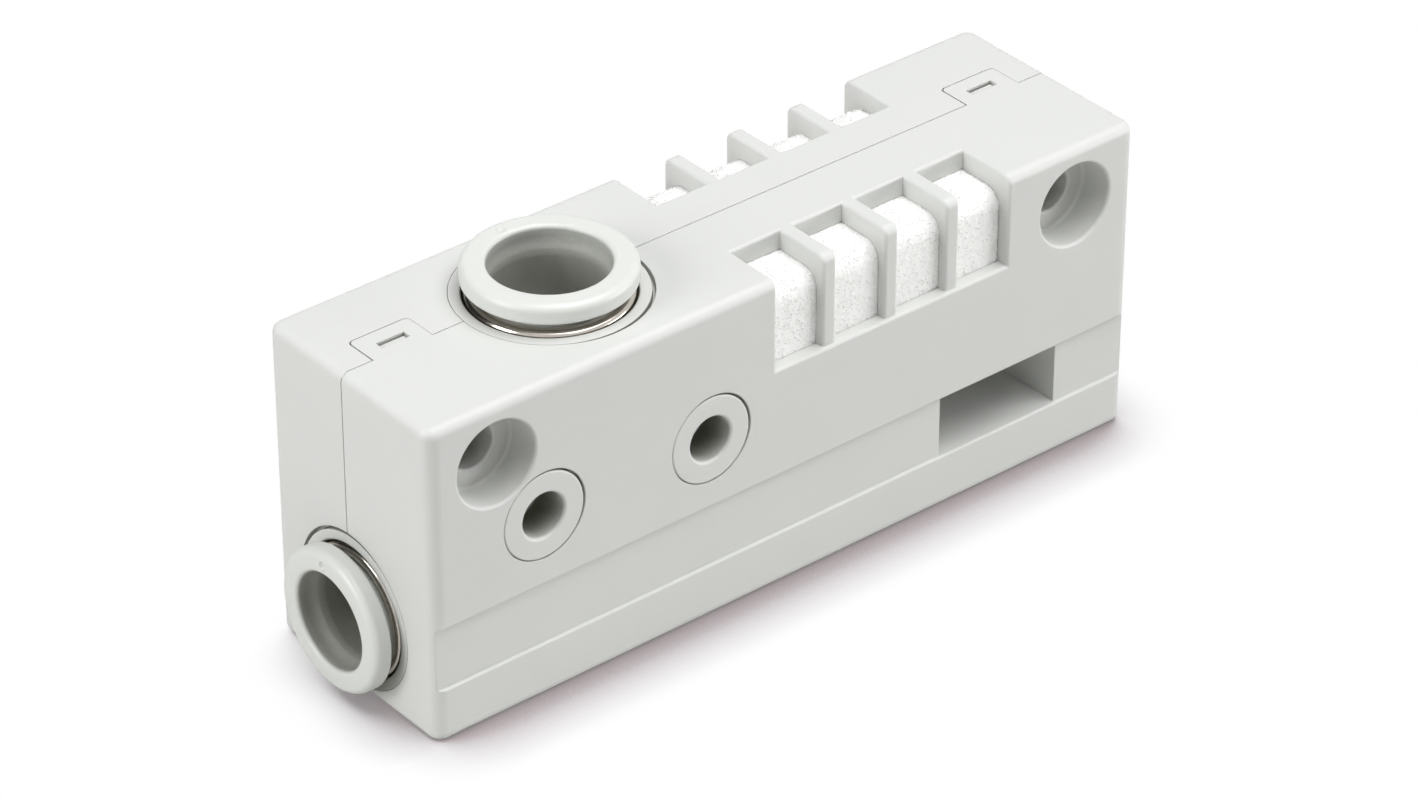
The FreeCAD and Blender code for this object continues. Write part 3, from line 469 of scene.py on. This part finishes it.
def turned_brass():
    """Turned brass: fine tool marks that run round the channel's axis."""
    finish = Finish("brass")
    lines = finish.node("ShaderNodeTexWave", {"bands_direction": "X"}, {
        "Vector": finish.place, "Scale": 0.5 / LATHE_PITCH, "Distortion": LATHE_WAVINESS, "Detail": 1.0,
    })
    blotch = finish.noise(BRASS_BLOTCH_SIZE, detail=3.0)
    finish.set(Base_Color=finish.blend(BRASS_COLOUR, BRASS_SHADE, blotch), Metallic=1.0)
    finish.set(Roughness=BRASS_ROUGHNESS + lines * LATHE_ROUGHNESS + blotch * BLOTCH_ROUGHNESS)
    finish.set(Normal=finish.relief(lines, LATHE_DEPTH))
    return finish


dress(turned_brass(), "nozzle")
natural_resin = moulded_plastic("natural_resin", DIFFUSER_COLOUR, DIFFUSER_SHADE, DIFFUSER_ROUGHNESS, DIFFUSER_HOLLOW_SHADE)
dress(natural_resin, "first_diffuser", "second_diffuser")

# Rubber seals
# Black nitrile rubber: O-rings in the grooves of every pushed-in piece, the lip seals round the tubes and the flap
# over the second suction hole. Moulded rubber is matte, with a faint bloom.
RUBBER_COLOUR = (0.018, 0.018, 0.018, 1.0)
RUBBER_BLOOM = (0.045, 0.045, 0.046, 1.0)
RUBBER_ROUGHNESS = 0.55
RUBBER_IOR = 1.5
BLOOM_SIZE = 1.2 * MM
BLOOM_ROUGHNESS = 0.15
RUBBER_SKIN_SIZE = 0.12 * MM
RUBBER_SKIN_DEPTH = 0.008 * MM
RUBBER_NODES = [
    "vacuum_o_ring", "supply_o_ring", "left_port_o_ring", "right_port_o_ring", "nozzle_o_ring",
    "first_diffuser_o_ring", "second_diffuser_o_ring", "vacuum_tube_seal", "supply_tube_seal", "check_valve_flap",
]


def black_rubber():
    """Matte moulded rubber with a faint grey bloom."""
    finish = Finish("black_rubber")
    bloom = finish.noise(BLOOM_SIZE, detail=4.0)
    skin = finish.noise(RUBBER_SKIN_SIZE, detail=2.0)
    finish.set(Base_Color=finish.blend(RUBBER_COLOUR, RUBBER_BLOOM, bloom))
    finish.set(Roughness=RUBBER_ROUGHNESS + bloom * BLOOM_ROUGHNESS, IOR=RUBBER_IOR)
    finish.set(Normal=finish.relief(skin, RUBBER_SKIN_DEPTH))
    return finish


dress(black_rubber(), *RUBBER_NODES)

# Suction screen
# A thin stainless disc with a grid of etched holes under the vacuum port, which keeps dirt out of the channel. It is
# rolled sheet with a fine grain that has no direction.
SHEET_COLOUR = (0.62, 0.61, 0.59, 1.0)
SHEET_SHADE = (0.54, 0.53, 0.51, 1.0)
SHEET_BLOTCH_SIZE = 2.2 * MM
SHEET_ROUGHNESS = 0.26
SHEET_GRAIN_ROUGHNESS = 0.1
SHEET_GRAIN_SIZE = 0.08 * MM
SHEET_GRAIN_DEPTH = 0.0015 * MM


def rolled_steel():
    """Rolled stainless sheet with a fine directionless grain."""
    finish = Finish("sheet_steel")
    grain = finish.noise(SHEET_GRAIN_SIZE, detail=3.0)
    blotch = finish.noise(SHEET_BLOTCH_SIZE, detail=3.0)
    finish.set(Base_Color=finish.blend(SHEET_COLOUR, SHEET_SHADE, blotch), Metallic=1.0)
    finish.set(Roughness=SHEET_ROUGHNESS + grain * SHEET_GRAIN_ROUGHNESS)
    finish.set(Normal=finish.relief(grain, SHEET_GRAIN_DEPTH))
    return finish


sheet_steel = rolled_steel()
dress(sheet_steel, "suction_screen")

# Fitting sleeves
# A moulded resin sleeve is pressed into each fitting's seat, flush with the body, and holds the rest of the fitting.
# It is the body's colour with a slightly glossier skin. A spacer ring of the same resin backs the claws.
SLEEVE_COLOUR = (0.672, 0.678, 0.658, 1.0)
SLEEVE_SHADE = (0.652, 0.660, 0.640, 1.0)
SLEEVE_ROUGHNESS = 0.36
# Painted shade: the colour darkens towards a dark olive in recesses, counting the pieces round the sleeve as well as
# the sleeve.
SLEEVE_HOLLOW_SHADE = {"reach": 14 * MM, "start": 0.50, "full": 0.16, "alone": False}
sleeve_plastic = moulded_plastic("sleeve_plastic", SLEEVE_COLOUR, SLEEVE_SHADE, SLEEVE_ROUGHNESS, SLEEVE_HOLLOW_SHADE)
dress(sleeve_plastic, "vacuum_cassette", "supply_cassette", "vacuum_spacer_ring", "supply_spacer_ring")

# Guide rings
# A drawn and polished stainless ring stands in each sleeve's mouth and guides the button. Its rounded top shows in
# the gap under the button as a bright line.
POLISHED_COLOUR = (0.55, 0.515, 0.47, 1.0)
POLISHED_SHADE = (0.46, 0.425, 0.385, 1.0)
POLISHED_ROUGHNESS = 0.14
HAZE_SIZE = 0.7 * MM
HAZE_ROUGHNESS = 0.08
SCRATCH_SIZE = 0.05 * MM
SCRATCH_WAVINESS = 0.4
SCRATCH_ROUGHNESS = 0.03
SCRATCH_DEPTH = 0.0004 * MM


def polished_steel():
    """Polished stainless with faint drawing lines and an uneven shine."""
    finish = Finish("polished_steel")
    haze = finish.noise(HAZE_SIZE, detail=3.0)
    scratch = finish.noise(SCRATCH_SIZE, detail=1.0, distortion=SCRATCH_WAVINESS)
    finish.set(Base_Color=finish.blend(POLISHED_COLOUR, POLISHED_SHADE, haze), Metallic=1.0)
    finish.set(Roughness=POLISHED_ROUGHNESS + haze * HAZE_ROUGHNESS + scratch * SCRATCH_ROUGHNESS)
    finish.set(Normal=finish.relief(scratch, SCRATCH_DEPTH))
    return finish


dress(polished_steel(), "vacuum_guide_ring", "supply_guide_ring")

# Release buttons
# Each push-in fitting has a moulded button that is pushed in to free the tube. Its top is flat with well-rounded
# edges, a funnel mouth and a small gate mark, and it is a touch greener than the body.
BUTTON_COLOUR = (0.680, 0.694, 0.666, 1.0)
BUTTON_SHADE = (0.662, 0.678, 0.650, 1.0)
BUTTON_ROUGHNESS = 0.34
BUTTON_CLOUD_SIZE = 3 * MM
# Painted shade: the button's colour goes towards a dark olive down its bore.
BUTTON_HOLLOW_SHADE = {"reach": 14 * MM, "start": 0.72, "full": 0.35, "alone": True}
button_plastic = moulded_plastic("button_plastic", BUTTON_COLOUR, BUTTON_SHADE, BUTTON_ROUGHNESS, BUTTON_HOLLOW_SHADE,
                                 cloud_size=BUTTON_CLOUD_SIZE)
dress(button_plastic, "vacuum_release_button", "supply_release_button")

# Collets
# A stamped stainless ring with sprung claws in each fitting, which slope inwards and grip the tube.
dress(sheet_steel, "vacuum_collet", "supply_collet")

# Port bushings
# Two moulded bushings sit flush in the front face, each with a rounded mouth.
BUSHING_COLOUR = (0.675, 0.680, 0.662, 1.0)
BUSHING_SHADE = (0.655, 0.662, 0.644, 1.0)
BUSHING_ROUGHNESS = 0.40
# Painted shade: the bushings' colour goes towards a dark olive deep in their bores.
BUSHING_HOLLOW_SHADE = {"reach": 7 * MM, "start": 0.52, "full": 0.20, "alone": False}
bushing_plastic = moulded_plastic("bushing_plastic", BUSHING_COLOUR, BUSHING_SHADE, BUSHING_ROUGHNESS, BUSHING_HOLLOW_SHADE)
dress(bushing_plastic, "left_port_bushing", "right_port_bushing")

# Floor
# A large matte sheet under the part. To the camera it is plain white out in the open, and close round the part, where
# little of the sky is seen, it shows a painted shadow: a dark mauve paper colour, still dimmed by the light that
# reaches it. The painted shadow leans towards the back, so it reaches further out in front of the part than at its
# ends. To everything else it is a plain pale sheet that lights the part from below.
WHITE = (1.0, 1.0, 1.0, 1.0)
FLOOR_SIZE = 3.0
FLOOR_PAINTED_SHADOW = (0.235, 0.175, 0.19, 1.0)
FLOOR_COLOUR = (0.64, 0.635, 0.62, 1.0)
SHADOW_SAMPLES = 16
SHADOW_REACH = 9 * MM
SHADOW_LEAN = 35
SHADOW_START = 0.35
SHADOW_END = 0.90
SHADOW_DEEPEST = 0.18


def floor_sheet():
    """Flat square on the ground."""
    half = FLOOR_SIZE / 2
    corners = [(-half, -half, 0.0), (half, -half, 0.0), (half, half, 0.0), (-half, half, 0.0)]
    mesh = bpy.data.meshes.new("floor")
    mesh.from_pydata(corners, [], [(0, 1, 2, 3)])
    piece = bpy.data.objects.new("floor", mesh)
    bpy.context.scene.collection.objects.link(piece)
    return piece


def floor_paper():
    """Matte paper that is plain white to the camera, apart from a painted shadow close round the part."""
    material = bpy.data.materials.new("floor_paper")
    material.use_nodes = True
    paper = Wiring(material.node_tree)
    paper.tree.nodes.remove(paper.tree.nodes["Principled BSDF"])
    lean = math.radians(SHADOW_LEAN)
    upwards = paper.node("ShaderNodeCombineXYZ", {}, {"X": 0.0, "Y": math.sin(lean), "Z": math.cos(lean)})
    sky = paper.node("ShaderNodeAmbientOcclusion", {"samples": SHADOW_SAMPLES},
                     {"Distance": SHADOW_REACH, "Normal": upwards}, "AO")
    open_share = ((sky - SHADOW_START) / (SHADOW_END - SHADOW_START)).at_least(0.0).root()
    open_share = open_share.at_least(SHADOW_DEEPEST).at_most(1.0)
    eye = paper.node("ShaderNodeLightPath", output="Is Camera Ray")
    # To the camera the paper takes a dark painted-shadow colour, and the AO share mixes it with plain white.
    tone = paper.node("ShaderNodeMix", {"data_type": "RGBA"},
                      {"Factor_Float": eye, "A_Color": FLOOR_COLOUR, "B_Color": FLOOR_PAINTED_SHADOW}, "Result_Color")
    matte = paper.node("ShaderNodeBsdfDiffuse", {}, {"Color": tone})
    white = paper.node("ShaderNodeEmission", {}, {"Color": WHITE, "Strength": 1.0})
    surface = paper.node("ShaderNodeMixShader", {}, {"Fac": eye * open_share, 1: matte, 2: white})
    paper.fill(paper.tree.nodes["Material Output"].inputs["Surface"], surface)
    return material


floor = floor_sheet()
floor.data.materials.append(floor_paper())

# Studio light
# A dim white room, a large soft box overhead and a little in front of the part, and a smaller one on each side. The
# room is plain white to the camera and in reflections, apart from a dark card behind the part on the left.
ROOM_LEVEL = 0.12
CARD_LEVEL = 0.03
CARD_DIRECTION = Vector((-0.55, 0.65, 0.45))
CARD_EDGE = 0.55
CARD_MIDDLE = 0.80
OVERHEAD_BOX = {"place": Vector((0.10, -0.15, 0.65)), "width": 0.60, "height": 0.55, "power": 4.65}
LEFT_BOX = {"place": Vector((-0.68, 0.12, 0.32)), "width": 0.30, "height": 0.45, "power": 3.5}
RIGHT_STRIP = {"place": Vector((0.68, -0.56, 0.12)), "width": 0.50, "height": 0.14, "power": 3.1}


def white_room():
    """World that is white to the eye and in reflections, apart from the card, and a dim lamp."""
    world = bpy.data.worlds.new("white_room")
    world.use_nodes = True
    room = Wiring(world.node_tree)
    eye = room.node("ShaderNodeLightPath", output="Is Camera Ray")
    mirrored = eye.also("Is Glossy Ray").at_least(eye.also("Is Transmission Ray"))
    way = room.node("ShaderNodeTexCoord", output="Generated")
    facing = room.node("ShaderNodeVectorMath", {"operation": "DOT_PRODUCT"},
                       {0: way, 1: CARD_DIRECTION.normalized()}, "Value")
    card = ((facing - CARD_EDGE) / (CARD_MIDDLE - CARD_EDGE)).at_least(0.0).at_most(1.0)
    reflected = 1 - card * (1 - CARD_LEVEL)
    background = room.tree.nodes["Background"]
    room.fill(background.inputs["Color"], WHITE)
    lit = ROOM_LEVEL * (1 - eye - mirrored).at_least(0.0)
    room.fill(background.inputs["Strength"], eye + mirrored * reflected + lit)
    bpy.context.scene.world = world


def soft_box(name, place, width, height, power):
    """Area lamp that faces the part."""
    lamp = bpy.data.lights.new(name, "AREA")
    lamp.shape = "RECTANGLE"
    lamp.size = width
    lamp.size_y = height
    lamp.energy = power
    box = bpy.data.objects.new(name, lamp)
    box.location = place
    box.rotation_euler = (-place).to_track_quat("-Z", "Y").to_euler()
    bpy.context.scene.collection.objects.link(box)


white_room()
soft_box("overhead_box", **OVERHEAD_BOX)
soft_box("left_box", **LEFT_BOX)
soft_box("right_strip", **RIGHT_STRIP)

# Camera
# A long lens from the front left and above.
CAMERA_AZIMUTH = -39.53
CAMERA_HEIGHT_ANGLE = 33.07
CAMERA_DISTANCE = 601.8 * MM
AIM_AZIMUTH = -39.463
AIM_PITCH = 33.333
AIM_POINT = Vector((0.0, -0.39, 19.1)) * MM
LENS_LENGTH = 144.17
SENSOR_WIDTH = 36.0
NEAREST_SEEN = 0.01


def backwards(azimuth, pitch):
    """Direction from the part towards a camera at an azimuth and an angle above the floor."""
    turn = math.radians(azimuth)
    rise = math.radians(pitch)
    return Vector((math.sin(turn) * math.cos(rise), -math.cos(turn) * math.cos(rise), math.sin(rise)))


lens = bpy.data.cameras.new("camera")
lens.lens = LENS_LENGTH
lens.sensor_width = SENSOR_WIDTH
lens.sensor_fit = "HORIZONTAL"
lens.clip_start = NEAREST_SEEN
camera = bpy.data.objects.new("camera", lens)
camera.location = AIM_POINT + CAMERA_DISTANCE * backwards(CAMERA_AZIMUTH, CAMERA_HEIGHT_ANGLE)
camera.rotation_euler = (-backwards(AIM_AZIMUTH, AIM_PITCH)).to_track_quat("-Z", "Y").to_euler()
bpy.context.scene.collection.objects.link(camera)
bpy.context.scene.camera = camera
bpy.context.scene.view_settings.view_transform = "Standard"
